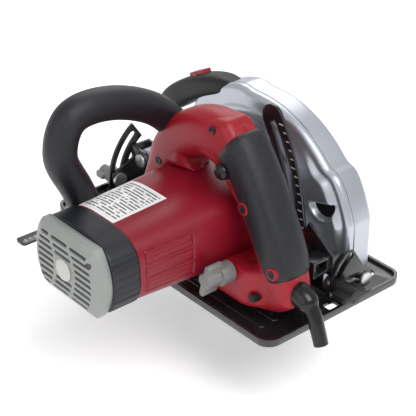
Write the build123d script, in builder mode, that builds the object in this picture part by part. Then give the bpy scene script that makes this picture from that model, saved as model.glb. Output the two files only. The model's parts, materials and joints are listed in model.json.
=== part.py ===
# Hand-held circular saw, 185 mm blade, resting at its full cutting depth.
# Frame: +X is the cutting direction, +Y is towards the motor, +Z is up.
# The origin is the centre of the sole's underside. All sizes are in millimetres.
from build123d import *
from math import atan, cos, degrees, pi, radians, sin, sqrt
import os

os.makedirs("parts", exist_ok=True)

# Sole
sole_length, sole_width, sole_corner = 273.0, 146.0, 12.0
sole_sheet, sole_rim = 2.5, 6.0
opening_x, opening_y = (-118.0, 90.0), (-62.5, -11.0)

# Blade and drive train
blade_radius, blade_sheet, blade_bore, tooth_count = 92.5, 1.8, 10.0, 24
blade_y = -37.5
spindle_x, spindle_z = -14.0, 29.0
gear_module, gear_teeth, pinion_teeth = 1.3, 38, 12
gear_y, gear_face = 2.0, 10.0
centre_distance = gear_module * (gear_teeth + pinion_teeth) / 2
motor_x = spindle_x - 13.0
motor_z = spindle_z + sqrt(centre_distance**2 - 13.0**2)

# The bevel axis runs along X and the depth axis along Y
tilt_y, tilt_z = blade_y, 12.5
pivot_x, pivot_z = 106.5, 34.0
pin_radius, running_gap = 4.0, 0.05

# Blade guards
guard_radius, guard_wall = 103.0, 2.5
guard_inner_y, seam_y, guard_outer_y = -24.0, -31.0, -52.0
guard_bottom, shoulder = 17.0, 6.0
scoop_radius = 109.5
lower_radius, lower_sheet = 96.5, 1.5
boss_radius = 20.0
dust_outlet, dust_radius, dust_end_y = (-94.0, 70.0), 6.5, -19.5

# Depth arm, an arc strip about the depth axis
arm_y, arm_sheet = -6.0, 2.5
arm_inner, arm_outer, arm_slot = 178.0, 200.0, 188.0
arm_top, arm_foot_angle = 148.0, 187.0
clamp_angle = 1.5
clamp_x = pivot_x - arm_slot * cos(radians(clamp_angle))
clamp_z = pivot_z + arm_slot * sin(radians(clamp_angle))

# Bevel quadrants on the sole
plate = 2.5
front_quad_x, rear_quad_x = 121.5, -127.5
front_tilt_x, rear_tilt_x = front_quad_x - 3.0, rear_quad_x + 3.0
front_slot, rear_slot = 53.5, 32.5
front_rest, rear_rest = 4.0, 12.0
tilt_range = 45.0

# Motor housing
housing_start, housing_end, ring_end, cap_end = 22.0, 137.0, 161.0, 173.0
near_radius, near_flat = 48.0, 35.0
far_radius, far_flat = 43.5, 29.5
wall = 3.0

# Rear handle
handle_y, handle_half = 37.5, 15.4
handle_left = handle_y + handle_half
handle_right = handle_y - handle_half
clamp_block_left = 62.0
edge_round = 5.0


def side(y):
    """A plane square to Y with sketch axes X and Z. A negative extrusion goes towards +Y."""
    return Plane.XZ.offset(-y)


def cross(x):
    """A plane square to X with sketch axes Y and Z."""
    return Plane.YZ.offset(x)


def polar(angle, radius, centre=(0.0, 0.0)):
    """The point at an angle in degrees and a radius from a centre."""
    return (centre[0] + radius * cos(radians(angle)), centre[1] + radius * sin(radians(angle)))


def band(centre, inner, outer, low, high, mode=Mode.ADD):
    """A sector of a ring in the current sketch, between two angles."""
    with BuildLine(Plane.XY, mode=Mode.PRIVATE) as edge:
        CenterArc(centre, outer, low, high - low)
        Line(polar(high, outer, centre), polar(high, inner, centre))
        CenterArc(centre, inner, low, high - low)
        Line(polar(low, inner, centre), polar(low, outer, centre))
    make_face(edge.edges(), mode=mode)


def slot_band(centre, radius, half_width, low, high):
    """An arc slot with round ends, cut from the current sketch."""
    band(centre, radius - half_width, radius + half_width, low, high, mode=Mode.SUBTRACT)
    with Locations(polar(low, radius, centre), polar(high, radius, centre)):
        Circle(half_width, mode=Mode.SUBTRACT)


def outline(*points, mode=Mode.ADD):
    """A closed polygon in the current sketch."""
    with BuildLine(Plane.XY, mode=Mode.PRIVATE) as edge:
        Polyline(*points, close=True)
    make_face(edge.edges(), mode=mode)


def rod(plane, centre, radius, length, mode=Mode.ADD, bore=0.0):
    """A cylinder, or a tube when bore is set, extruded from a plane in the current part."""
    with BuildSketch(plane, mode=Mode.PRIVATE) as disc:
        with Locations(centre):
            Circle(radius)
            if bore:
                Circle(bore, mode=Mode.SUBTRACT)
    extrude(disc.sketch, amount=length, mode=mode)


def finish(builder, label):
    """Name a part and write its file."""
    builder.part.label = label
    export_step(builder.part, f"parts/{label}.step")


spindle = (spindle_x, spindle_z)
motor = (motor_x, motor_z)
pivot = (pivot_x, pivot_z)
tilt = (tilt_y, tilt_z)
clamp = (clamp_x, clamp_z)

# ---- Sole with its bevel quadrants and fence
fence_x, fence_width, fence_sheet, fence_z = 103.0, 12.0, 2.2, 2.8
guide_left, guide_right = 56.0, -66.0

with BuildPart() as sole_plate:
    with BuildSketch():
        RectangleRounded(sole_length, sole_width, sole_corner)
    extrude(amount=sole_sheet)
    with BuildSketch():
        RectangleRounded(sole_length, sole_width, sole_corner)
        RectangleRounded(sole_length - 5, sole_width - 5, sole_corner - 2.5, mode=Mode.SUBTRACT)
    extrude(amount=sole_rim)
    with BuildSketch():
        with Locations((sum(opening_x) / 2, sum(opening_y) / 2)):
            RectangleRounded(opening_x[1] - opening_x[0], opening_y[1] - opening_y[0], 5)
        with Locations((spindle_x - 3, 6)):
            RectangleRounded(84, 42, 5)
        with Locations((-127, -2)):
            RectangleRounded(9, 11, 2.5)
        with Locations((sole_length / 2, blade_y)):
            Rectangle(16, 5)
    extrude(amount=sole_rim, mode=Mode.SUBTRACT)
    with Locations((fence_x, 0, fence_z + 2)):
        Box(fence_width + 1.2, sole_width + 2, 4.4, mode=Mode.SUBTRACT)
    with BuildSketch(Plane.XY.offset(sole_sheet)):
        with Locations((-25, 44), (-25, 57)):
            SlotOverall(180, 5)
    extrude(amount=0.8, taper=30)
finish(sole_plate, "sole_plate")

with BuildPart() as fence_guides:
    for low_y, length in ((guide_left - 6, 12), (guide_right - 3, 6)):
        with BuildSketch(side(low_y)):
            with Locations((fence_x, sole_sheet + 2.6)):
                Rectangle(fence_width + 16, 5.2)
            with Locations((fence_x, sole_sheet + 1.4)):
                Rectangle(fence_width + 0.8, 2.8, mode=Mode.SUBTRACT)
            with Locations((fence_x - 12, sole_sheet + 3.4), (fence_x + 12, sole_sheet + 3.4)):
                Rectangle(7, 3.6, mode=Mode.SUBTRACT)
        extrude(amount=-length)
    rod(Plane.XY.offset(sole_sheet + 5.2), (fence_x, guide_left), 5.5, 3)
    rod(Plane.XY.offset(sole_sheet + 2.8), (fence_x, guide_left), 3 + running_gap, 6, Mode.SUBTRACT)
finish(fence_guides, "fence_guides")

with BuildPart() as fence_screw:
    rod(Plane.XY.offset(fence_z + fence_sheet + 0.3), (fence_x, guide_left), 3, 8)
    rod(Plane.XY.offset(sole_sheet + 8.5), (fence_x, guide_left), 5, 5)
    with BuildSketch(side(guide_left - 1.2)):
        with Locations((fence_x, sole_sheet + 15)):
            SlotOverall(22, 8)
    extrude(amount=-2.4)
    fillet(fence_screw.edges().group_by(Axis.Z)[-1], 0.5)
finish(fence_screw, "fence_screw")

fence_tip, fence_tail = 131.0, -105.0
with BuildPart() as fence_bar:
    with BuildSketch(Plane.XY.offset(fence_z)):
        with Locations((fence_x, (fence_tip + fence_tail) / 2)):
            RectangleRounded(fence_width, fence_tip - fence_tail, 3)
    extrude(amount=fence_sheet)
finish(fence_bar, "fence_bar")

with BuildPart() as fence_shoe:
    with BuildSketch(side(fence_tail)):
        with Locations((fence_x, -4.6)):
            RectangleRounded(110, 14.8, 5)
        with Locations((fence_x, fence_z)):
            Rectangle(fence_width, 2 * (fence_sheet + 1.5))
    extrude(amount=2.5)
    with BuildSketch(Plane.XY.offset(fence_z + fence_sheet)):
        with Locations((fence_x, fence_tail + 3)):
            Rectangle(fence_width, 11)
    extrude(amount=1.5)
finish(fence_shoe, "fence_shoe")

with BuildPart() as front_quadrant:
    with BuildSketch(cross(front_quad_x)):
        with Locations(tilt):
            Circle(8)
        outline((tilt_y, 4.5), (24, 4.5), (24, 17), (-8, 20), (tilt_y, 20.5))
        band(tilt, 44, 61.5, 0, 56)
        slot_band(tilt, front_slot, 3.2, front_rest, front_rest + tilt_range)
        with Locations(tilt):
            Circle(3, mode=Mode.SUBTRACT)
        with Locations((-8, 1)):
            Rectangle(100, 7, mode=Mode.SUBTRACT)
    extrude(amount=plate)
    with BuildSketch(Plane.XY.offset(sole_sheet)):
        with Locations((front_quad_x + 5.5, 0)):
            Rectangle(11, 46)
    extrude(amount=2)
finish(front_quadrant, "front_quadrant")

with BuildPart() as rear_quadrant:
    with BuildSketch(cross(rear_quad_x)):
        with Locations(tilt):
            Circle(8)
        outline((tilt_y, 4.5), (1, 4.5), polar(0, 38.5, tilt), polar(20, 39, tilt), polar(40, 39, tilt),
                polar(56, 38.5, tilt), polar(66, 34, tilt), polar(84, 11.5, tilt), polar(125, 8, tilt))
        slot_band(tilt, rear_slot, 3.2, rear_rest, rear_rest + tilt_range)
        with Locations(tilt):
            Circle(3, mode=Mode.SUBTRACT)
    extrude(amount=plate)
    with BuildSketch(Plane.XY.offset(sole_sheet)):
        with Locations((rear_quad_x - 2.4, -21)):
            Rectangle(7.2, 24)
    extrude(amount=2)
finish(rear_quadrant, "rear_quadrant")

with BuildPart() as bevel_rivets:
    for face_x, step in ((front_quad_x + plate, 1), (rear_quad_x, -1)):
        rod(cross(face_x), tilt, 3, -step * (2 * plate + 1.2))
        with BuildSketch(cross(face_x)):
            with Locations(tilt):
                Circle(6)
        extrude(amount=2.2 * step, taper=12)
        rod(cross(face_x - step * (2 * plate + 0.9)), tilt, 5, -step * 1.4)
finish(bevel_rivets, "bevel_rivets")

# ---- Tilting frame: front bracket, depth arm, bolts and wing knobs
with BuildPart() as front_bracket:
    with BuildSketch(cross(front_tilt_x)):
        with Locations(tilt):
            Circle(8)
        outline((tilt_y, 6.5), (14, 7.5), (22, 11), (22, 23), (0, 32), (0, 44), (-20, 44), (-20, 26),
                (tilt_y, 20.5))
        with Locations(tilt, polar(front_rest, front_slot, tilt)):
            Circle(3 + running_gap, mode=Mode.SUBTRACT)
    extrude(amount=plate)
    for cheek_y in (-20.0, -2.5):
        with BuildSketch(side(cheek_y)):
            with Locations(pivot):
                Circle(9)
            outline((pivot_x, pivot_z - 9), (front_tilt_x, 24), (front_tilt_x, 44), (pivot_x, pivot_z + 9))
            with Locations(pivot):
                Circle(pin_radius, mode=Mode.SUBTRACT)
        extrude(amount=-plate)
finish(front_bracket, "front_bracket")

with BuildPart() as depth_pin:
    rod(side(-20), pivot, pin_radius, -20)
    rod(side(0), pivot, 6.5, -2.2)
    rod(side(-20), pivot, 6, 1.6)
    fillet(depth_pin.edges().filter_by(GeomType.CIRCLE).group_by(Axis.Y)[-1], 0.8)
finish(depth_pin, "depth_pin")

rear_bolt = polar(rear_rest, rear_slot, tilt)
front_bolt = polar(front_rest, front_slot, tilt)
with BuildPart() as depth_arm:
    with BuildSketch(side(arm_y)):
        band(pivot, arm_inner, arm_outer, arm_top, arm_foot_angle)
        with Locations(polar(arm_top, (arm_inner + arm_outer) / 2, pivot)):
            Circle((arm_outer - arm_inner) / 2)
        outline((-97, 62), (rear_tilt_x, 44), (rear_tilt_x, 9), (-80, 9), (-72, 22), (-88, 40))
        slot_band(pivot, arm_slot, 3.3, arm_top + 1.5, 180 - clamp_angle)
    extrude(amount=-arm_sheet)
    with BuildSketch(cross(rear_tilt_x)):
        with Locations(tilt):
            Circle(8)
        outline((tilt_y, 6.5), (arm_y + arm_sheet, 9), (arm_y + arm_sheet, 44), (-14, 44), (-22, 30),
                (tilt_y, 20.5))
        with Locations(tilt):
            Circle(3 + running_gap, mode=Mode.SUBTRACT)
        with Locations(rear_bolt):
            Circle(3 + running_gap, mode=Mode.SUBTRACT)
    extrude(amount=plate)
    with Locations((rear_tilt_x + plate + 4, rear_bolt[0], rear_bolt[1])):
        Box(8, 14, 14, mode=Mode.SUBTRACT)
    rod(cross(rear_tilt_x - 1), rear_bolt, 3 + running_gap, 6, Mode.SUBTRACT)
finish(depth_arm, "depth_arm")

with BuildPart() as arm_foot:
    with BuildSketch(cross(rear_tilt_x + plate)):
        outline((arm_y + arm_sheet, 30), (14, 30), (14, 44), (arm_y + arm_sheet, 44))
        with Locations(((arm_y + arm_sheet + 14) / 2, 37)):
            Rectangle(11, 9, mode=Mode.SUBTRACT)
    extrude(amount=14)
finish(arm_foot, "arm_foot")


def wing_knob(face_x, centre, step, wing, reach):
    """A wing knob along X: a stepped hub with two wings."""
    rod(cross(face_x), centre, 7, step * 6)
    rod(cross(face_x + step * 6), centre, 5.5, step * reach)
    with BuildSketch(Plane.XY.offset(centre[1] - 2.2), mode=Mode.PRIVATE) as wings:
        with Locations((face_x + step * (6 + reach / 2), centre[0])):
            RectangleRounded(reach, 2 * wing, 2.4)
    extrude(wings.sketch, amount=4.4)


with BuildPart() as front_bevel_bolt:
    rod(cross(front_tilt_x - 0.1), front_bolt, 3, 14)
    rod(cross(front_tilt_x - 0.1), front_bolt, 6.5, -2.6)
finish(front_bevel_bolt, "front_bevel_bolt")

with BuildPart() as front_bevel_knob:
    wing_knob(front_quad_x + plate + 0.4, front_bolt, 1, 9.4, 11)
    rod(cross(front_quad_x + plate + 0.4), front_bolt, 3 + running_gap, 8.6, Mode.SUBTRACT)
finish(front_bevel_knob, "front_bevel_knob")

with BuildPart() as rear_bevel_bolt:
    rod(cross(rear_tilt_x + plate + 0.1), rear_bolt, 3, -14)
    rod(cross(rear_tilt_x + plate + 0.1), rear_bolt, 6, 2.6)
finish(rear_bevel_bolt, "rear_bevel_bolt")

with BuildPart() as rear_bevel_knob:
    wing_knob(rear_quad_x - 0.4, rear_bolt, -1, 12, 14)
    rod(cross(rear_quad_x - 0.4), rear_bolt, 3 + running_gap, -9, Mode.SUBTRACT)
finish(rear_bevel_knob, "rear_bevel_knob")

# ---- Upper guard: two shells that meet at the seam
front_radius = 107.0
spindle_axis = Axis((spindle_x, 0, spindle_z), (0, 1, 0))
rim_inner = guard_radius - guard_wall
wall_inner = guard_inner_y - guard_wall
wall_outer = guard_outer_y + guard_wall


def radial(angle):
    """A plane through the spindle's axis, with sketch axes radius and Y. Zero degrees points forwards."""
    across = (cos(radians(angle)), 0, sin(radians(angle)))
    return Plane(origin=(spindle_x, 0, spindle_z), x_dir=across, z_dir=(-across[2], 0, across[0]))


def turned(angle, arc, *points):
    """Revolve a closed profile of radius and Y about the spindle, backwards from an angle."""
    with BuildSketch(radial(angle), mode=Mode.PRIVATE) as profile:
        outline(*points)
    revolve(profile.sketch, axis=spindle_axis, revolution_arc=arc)


def trim_guard():
    """Open the guard's underside and clear the rear hinge plate."""
    with Locations((spindle_x, -38, guard_bottom - 60)):
        Box(300, 60, 120, mode=Mode.SUBTRACT)
    with Locations((-119.5 - 10, -38, 40)):
        Box(20, 60, 80, mode=Mode.SUBTRACT)


with BuildPart() as upper_guard_inner:
    turned(0, 360, (boss_radius, guard_inner_y), (guard_radius - 2, guard_inner_y),
           (guard_radius, guard_inner_y - 2), (guard_radius, seam_y), (rim_inner, seam_y),
           (rim_inner, wall_inner), (boss_radius, wall_inner))
    turned(188, 49, (rim_inner + 1, guard_inner_y - 1), (scoop_radius - 2, guard_inner_y - 1),
           (scoop_radius, guard_inner_y - 3), (scoop_radius, seam_y), (rim_inner + 1, seam_y))
    turned(84, 44, (rim_inner + 1, guard_inner_y - 1), (front_radius - 2, guard_inner_y - 1),
           (front_radius, guard_inner_y - 3), (front_radius, seam_y), (rim_inner + 1, seam_y))
    for rib in (72, 86):
        turned(150, 95, (rib, guard_inner_y - 0.5), (rib + 1.5, guard_inner_y - 0.5),
               (rib + 1.5, guard_inner_y + 1.2), (rib, guard_inner_y + 1.2))
    rod(side(wall_inner), dust_outlet, dust_radius + 2, wall_inner - dust_end_y)
    trim_guard()
    rod(side(wall_inner - 2), dust_outlet, dust_radius, wall_inner - 2 - dust_end_y - 2, Mode.SUBTRACT)
finish(upper_guard_inner, "upper_guard_inner")

with BuildPart() as upper_guard_outer:
    turned(0, 360, (rim_inner, seam_y), (guard_radius, seam_y), (guard_radius, guard_outer_y + shoulder),
           (guard_radius - shoulder, guard_outer_y), (38, guard_outer_y), (38, wall_outer),
           (rim_inner - 5, wall_outer), (rim_inner, wall_outer + 4))
    turned(188, 49, (rim_inner + 1, seam_y), (scoop_radius, seam_y), (scoop_radius, guard_outer_y + 4),
           (scoop_radius - 4, guard_outer_y), (rim_inner + 1, guard_outer_y))
    turned(84, 44, (rim_inner + 1, seam_y), (front_radius, seam_y), (front_radius, guard_outer_y + 8),
           (rim_inner + 1, guard_outer_y + 5))
    trim_guard()
    with Locations((spindle_x, guard_outer_y, spindle_z - 20)):
        Box(76, 16, 40, mode=Mode.SUBTRACT)
finish(upper_guard_outer, "upper_guard_outer")

# ---- Lower guard and its return spring
with BuildPart() as lower_guard:
    for sheet_y, hole in ((-29.0, boss_radius + running_gap), (-44.5, 30.0)):
        with BuildSketch(side(sheet_y)):
            band(spindle, 50, lower_radius, 182, 352)
            with Locations(spindle):
                Circle(50.5)
                Circle(hole, mode=Mode.SUBTRACT)
        extrude(amount=lower_sheet)
    with BuildSketch(side(-29.0 - lower_sheet)):
        band(spindle, lower_radius - lower_sheet, lower_radius, 182, 352)
    extrude(amount=14)
    rod(side(-28.7), spindle, boss_radius + 4, 1.8, bore=boss_radius + running_gap)
    with BuildSketch(side(-46.0)):
        band(spindle, 30.5, 35.5, 196, 216)
    extrude(amount=11)
finish(lower_guard, "lower_guard")

with BuildPart() as guard_spring:
    with BuildSketch(Plane(origin=(spindle_x, -27.6, spindle_z), x_dir=(1, 0, 0), z_dir=(0, 0, 1))):
        with Locations((boss_radius + 3, 0)):
            Circle(0.7)
    revolve(axis=Axis((spindle_x, 0, spindle_z), (0, 1, 0)), revolution_arc=345)
finish(guard_spring, "guard_spring")

# ---- Blade and its clamping parts
with BuildPart() as blade:
    with BuildSketch(side(blade_y + blade_sheet / 2)):
        with Locations(spindle):
            Circle(blade_radius - 6)
        for index in range(tooth_count):
            angle = 360 / tooth_count * index
            outline(polar(angle, blade_radius - 7, spindle), polar(angle + 1, blade_radius, spindle),
                    polar(angle + 3.2, blade_radius, spindle), polar(angle + 11, blade_radius - 7, spindle))
        with Locations(spindle):
            Circle(blade_bore, mode=Mode.SUBTRACT)
        for angle in (20, 110, 200, 290):
            outline(polar(angle, blade_radius - 22, spindle), polar(angle - 0.6, blade_radius + 2, spindle),
                    polar(angle + 0.6, blade_radius + 2, spindle), mode=Mode.SUBTRACT)
    extrude(amount=blade_sheet)
finish(blade, "blade")

with BuildPart() as inner_flange:
    rod(side(-32.6), spindle, 17, 4, bore=6)
    rod(side(blade_y + blade_sheet / 2), spindle, blade_bore, blade_sheet, bore=6)
finish(inner_flange, "inner_flange")

with BuildPart() as outer_flange:
    rod(side(blade_y - blade_sheet / 2), spindle, 17, 3, bore=4)
    chamfer(outer_flange.edges().group_by(Axis.Y)[0].sort_by(Edge.length)[-1:], 1)
finish(outer_flange, "outer_flange")

with BuildPart() as blade_bolt:
    rod(side(blade_y - blade_sheet / 2 - 3), spindle, 8, 1.2)
    with BuildSketch(side(blade_y - blade_sheet / 2 - 4.2)):
        with Locations(spindle):
            RegularPolygon(6.5, 6, major_radius=False)
    extrude(amount=5)
    rod(side(blade_y - blade_sheet / 2 - 3), spindle, 4, -18)
finish(blade_bolt, "blade_bolt")

with BuildPart() as spindle_shaft:
    rod(side(blade_y - blade_sheet / 2), spindle, 6, -50.9)
    rod(side(12.5), spindle, 5, -16)
    rod(side(blade_y - blade_sheet / 2), spindle, 4, -16, Mode.SUBTRACT)
finish(spindle_shaft, "spindle_shaft")

with BuildPart() as spindle_bearings:
    rod(side(-12), spindle, 15.9, 10, bore=6 + running_gap)
    rod(side(29), spindle, 11, 7, bore=5 + running_gap)
finish(spindle_bearings, "spindle_bearings")


def toothed(centre, teeth, phase, root, tip, base_half, tip_half):
    """A toothed wheel in the current sketch, with straight-flanked teeth."""
    with Locations(centre):
        Circle(root)
    for index in range(teeth):
        angle = phase + 360 / teeth * index
        wide, narrow = degrees(base_half / root), degrees(tip_half / tip)
        outline(polar(angle - wide, root - 0.3, centre), polar(angle - narrow, tip, centre),
                polar(angle + narrow, tip, centre), polar(angle + wide, root - 0.3, centre))


line_angle = degrees(atan((motor_z - spindle_z) / (motor_x - spindle_x))) + 180
gear_pitch = gear_module * gear_teeth / 2
pinion_pitch = gear_module * pinion_teeth / 2
with BuildPart() as drive_gear:
    with BuildSketch(side(gear_y)):
        toothed(spindle, gear_teeth, line_angle, gear_pitch - 1.3, gear_pitch + 0.9, 1.0, 0.45)
        with Locations(spindle):
            Circle(6, mode=Mode.SUBTRACT)
    extrude(amount=-gear_face)
    rod(side(gear_y - 4), spindle, 11, -4, bore=6)
finish(drive_gear, "drive_gear")

with BuildPart() as pinion:
    with BuildSketch(side(gear_y - 1)):
        toothed(motor, pinion_teeth, line_angle + 180 + 180 / pinion_teeth, pinion_pitch - 1.2,
                pinion_pitch + 0.9, 0.85, 0.4)
        with Locations(motor):
            Circle(2.6, mode=Mode.SUBTRACT)
    extrude(amount=-gear_face - 2)
finish(pinion, "pinion")

# ---- Motor
with BuildPart() as armature_shaft:
    rod(side(gear_y - 1), motor, 2.6, -12.2)
    rod(side(gear_y + 11.2), motor, 5, -138)
finish(armature_shaft, "armature_shaft")

with BuildPart() as armature_core:
    with BuildSketch(side(66)):
        with Locations(motor):
            Circle(22)
            Circle(5, mode=Mode.SUBTRACT)
        for index in range(12):
            with Locations(polar(30 * index, 20.6, motor)):
                Circle(1.6, mode=Mode.SUBTRACT)
    extrude(amount=-48)
finish(armature_core, "armature_core")

with BuildPart() as commutator:
    rod(side(120), motor, 12, -14, bore=5)
finish(commutator, "commutator")

with BuildPart() as fan:
    rod(side(32), motor, 29, -2, bore=5)
    rod(side(34), motor, 9, -9, bore=5)
    with BuildSketch(side(34)):
        for index in range(11):
            angle = index * 360 / 11
            outline(polar(angle, 8, motor), polar(angle + 3, 28, motor), polar(angle + 6, 28, motor),
                    polar(angle + 9, 8, motor))
    extrude(amount=-8)
finish(fan, "fan")

with BuildPart() as armature_bearings:
    rod(side(22), motor, 13, -8, bore=5 + running_gap)
    rod(side(142), motor, 11, -8, bore=5 + running_gap)
finish(armature_bearings, "armature_bearings")

with BuildPart() as stator:
    with BuildSketch(side(64)):
        with Locations(motor):
            Circle(36)
            Rectangle(80, 50, mode=Mode.INTERSECT)
            Circle(23.2, mode=Mode.SUBTRACT)
    extrude(amount=-52)
finish(stator, "stator")

with BuildPart() as brush_holders:
    for step in (-1, 1):
        with Locations((motor_x + step * 22, 127, motor_z)):
            Box(18, 11, 9)
            Box(20, 8.2, 6.2, mode=Mode.SUBTRACT)
finish(brush_holders, "brush_holders")

with BuildPart() as brushes:
    for step in (-1, 1):
        with Locations((motor_x + step * 19.3, 127, motor_z)):
            Box(14, 8, 6)
finish(brushes, "brushes")


# ---- Motor housing, ring and end cap
def barrel():
    """A round body with flat top and bottom, tapering along the motor axis."""
    ends = []
    for y, radius, flat in ((housing_start, near_radius, near_flat), (housing_end, far_radius, far_flat)):
        with BuildSketch(side(y), mode=Mode.PRIVATE) as end:
            with Locations(motor):
                Circle(radius)
                Rectangle(200, 2 * flat, mode=Mode.INTERSECT)
        ends.append(end.sketch.faces()[0])
    loft(ends)


with BuildPart() as housing_body:
    barrel()

with BuildPart() as motor_housing:
    barrel()
    fillet(motor_housing.edges().filter_by(GeomType.LINE), 5)
    with Locations((-64 - 20, housing_start + 16, motor_z)):
        Box(40, 36, 100, mode=Mode.SUBTRACT)
    with BuildSketch(side(30)):
        with Locations(motor):
            Circle(32.2)
            Rectangle(200, 60, mode=Mode.INTERSECT)
    extrude(amount=-28, mode=Mode.SUBTRACT)
    with BuildSketch(side(58)):
        with Locations(motor):
            Circle(40)
            Rectangle(200, 53, mode=Mode.INTERSECT)
    extrude(amount=-80, mode=Mode.SUBTRACT)
    rod(side(housing_start), motor, 13, -8, Mode.SUBTRACT)
    rod(side(housing_start), spindle, 11, -7.2, Mode.SUBTRACT)
    for level in (-14, -4, 6):
        with Locations((motor_x - near_radius, 100, motor_z + level)):
            Box(16, 44, 4.5, mode=Mode.SUBTRACT)
finish(motor_housing, "motor_housing")

with BuildPart() as cap_ring:
    with BuildSketch(side(housing_end)):
        with Locations(motor):
            Circle(far_radius)
            Rectangle(200, 2 * far_flat, mode=Mode.INTERSECT)
    extrude(amount=housing_end - ring_end)
    with BuildSketch(side(housing_end)):
        with Locations(motor):
            Circle(far_radius - wall)
            Rectangle(200, 2 * (far_flat - wall), mode=Mode.INTERSECT)
    extrude(amount=housing_end - ring_end, mode=Mode.SUBTRACT)
    with BuildSketch(side(142)):
        with Locations(motor):
            Rectangle(2 * far_radius - 4, 8)
            Circle(15)
        with Locations(motor):
            Circle(11, mode=Mode.SUBTRACT)
    extrude(amount=-9)
finish(cap_ring, "cap_ring")

cap_screw_at = ((motor_x - 30, motor_z + 17), (motor_x + 30, motor_z - 17))
grille_pitch, grille_rib, hub_radius = 5.2, 11.5, 9.0
with BuildPart() as end_cap:
    with BuildSketch(side(ring_end)):
        with Locations(motor):
            Circle(far_radius - 1)
            Rectangle(200, 2 * (far_flat - 1), mode=Mode.INTERSECT)
    extrude(amount=ring_end - cap_end)
    chamfer(end_cap.edges().group_by(Axis.Y)[-1], 5, 8)
    with BuildSketch(side(ring_end)):
        with Locations(motor):
            Circle(far_radius - 8)
            Rectangle(200, 2 * (far_flat - 6.5), mode=Mode.INTERSECT)
    extrude(amount=ring_end - cap_end + 3.5, mode=Mode.SUBTRACT)
    with BuildSketch(side(cap_end - 6)):
        for level in range(-4, 5):
            drop = grille_pitch * level
            reach = min(sqrt(far_radius**2 - drop**2) - 9, 35.5 - abs(level))
            ribs = [edge + drop**2 / 75 for edge in (-grille_rib, grille_rib)]
            for start, end in zip([-reach] + ribs, ribs + [reach]):
                if abs(start + end) < 2 * hub_radius and abs(drop) < hub_radius:
                    continue
                with Locations((motor_x + (start + end) / 2, motor_z + drop)):
                    SlotOverall(end - start - 3, 2.7)
    extrude(amount=-8, mode=Mode.SUBTRACT)
    rod(side(cap_end - 3), motor, hub_radius, -3.8)
    for screw in cap_screw_at:
        rod(side(cap_end - 8), screw, 4.5, -4)
        rod(side(cap_end - 5), screw, 2.5, -10, Mode.SUBTRACT)
finish(end_cap, "end_cap")

with BuildPart() as rating_plate:
    slope = atan((near_flat - far_flat) / (housing_end - housing_start))
    label_y = 110.0
    label_z = motor_z + near_flat - (label_y - housing_start) * (near_flat - far_flat) / (
        housing_end - housing_start)
    with BuildSketch(Plane(origin=(-17, label_y, label_z), x_dir=(1, 0, 0), z_dir=(0, sin(slope), cos(slope)))):
        RectangleRounded(42, 46, 1.5)
    extrude(amount=0.4)
finish(rating_plate, "rating_plate")

# ---- Gear case
lug_half, case_bottom = 7.2, 0.9
lock_at = (13.0, 37.0)
with BuildPart() as gear_case:
    with BuildSketch(side(guard_inner_y)):
        with Locations(spindle, motor):
            Circle(37)
        outline((spindle_x + 35, spindle_z + 8), (motor_x + 34, motor_z + 14), (motor_x - 36, motor_z - 6),
                (spindle_x - 33, spindle_z - 14))
        outline((-200, case_bottom), (200, case_bottom), (200, -60), (-200, -60),
                mode=Mode.SUBTRACT)
    extrude(amount=guard_inner_y - housing_start)
    with BuildSketch(side(-9)):
        with Locations(spindle, motor):
            Circle(33)
        outline((spindle_x + 30, spindle_z + 8), (motor_x + 30, motor_z + 14), (motor_x - 32, motor_z - 6),
                (spindle_x - 29, spindle_z - 10))
        outline((-200, case_bottom + 2), (200, case_bottom + 2), (200, -60), (-200, -60),
                mode=Mode.SUBTRACT)
    extrude(amount=-9 - housing_start, mode=Mode.SUBTRACT)
    rod(side(guard_inner_y), spindle, boss_radius, 7)
    with BuildSketch(side(-10)):
        with Locations(pivot):
            Circle(9)
        outline((spindle_x + 30, 22), (pivot_x, pivot_z - 9), (pivot_x, pivot_z + 9), (spindle_x + 26, 62))
        outline((spindle_x + 42, 34), (pivot_x - 24, 33), (pivot_x - 24, 36), (spindle_x + 42, 46),
                mode=Mode.SUBTRACT)
    extrude(amount=lug_half, both=True)
    with BuildSketch(side(-14)):
        outline((10, 60), (34, 46), (34, 84), (28, 96), (8, 96))
    extrude(amount=-34)
    with BuildSketch(side(-9)):
        with Locations(motor):
            Circle(33)
        with Locations(spindle):
            Circle(33)
        outline((-200, case_bottom + 2), (200, case_bottom + 2), (200, -60), (-200, -60),
                mode=Mode.SUBTRACT)
    extrude(amount=-9 - housing_start, mode=Mode.SUBTRACT)
    rod(side(-12), spindle, 15.9, 12, Mode.SUBTRACT)
    rod(side(-9), spindle, 15.9, 3, Mode.SUBTRACT)
    rod(side(-23), spindle, 8, 9, Mode.SUBTRACT)
    with BuildSketch(side(-30)):
        with Locations(pivot):
            Circle(pin_radius + running_gap)
    extrude(amount=-40, mode=Mode.SUBTRACT)
    rod(cross(10), lock_at, 4 + running_gap, 30, Mode.SUBTRACT)
finish(gear_case, "gear_case")

with BuildPart() as spindle_lock:
    rod(cross(17), lock_at, 4, 10)
    rod(cross(27), lock_at, 6, 5)
    fillet(spindle_lock.edges().group_by(Axis.X)[-1], 1.2)
finish(spindle_lock, "spindle_lock")

# ---- Front handle, a bent tube ahead of the motor
tube_radius, tube_x = 12.5, 17.0
with BuildPart() as front_handle:
    with BuildLine() as tube_path:
        Spline((tube_x, 114, 58), (tube_x, 129, 92), (tube_x, 141.5, 123), (tube_x, 130, 150),
               (tube_x, 96, 151.5), (tube_x, 56, 135), (tube_x, 26, 106), (tube_x, 8, 84))
    with BuildSketch(Plane(origin=tube_path.line @ 0, z_dir=tube_path.line % 0)):
        Circle(tube_radius)
    sweep()
    add(housing_body.part, mode=Mode.SUBTRACT)
    with Locations((tube_x, 0, 80)):
        Box(60, 48, 32, mode=Mode.SUBTRACT)
finish(front_handle, "front_handle")

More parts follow.
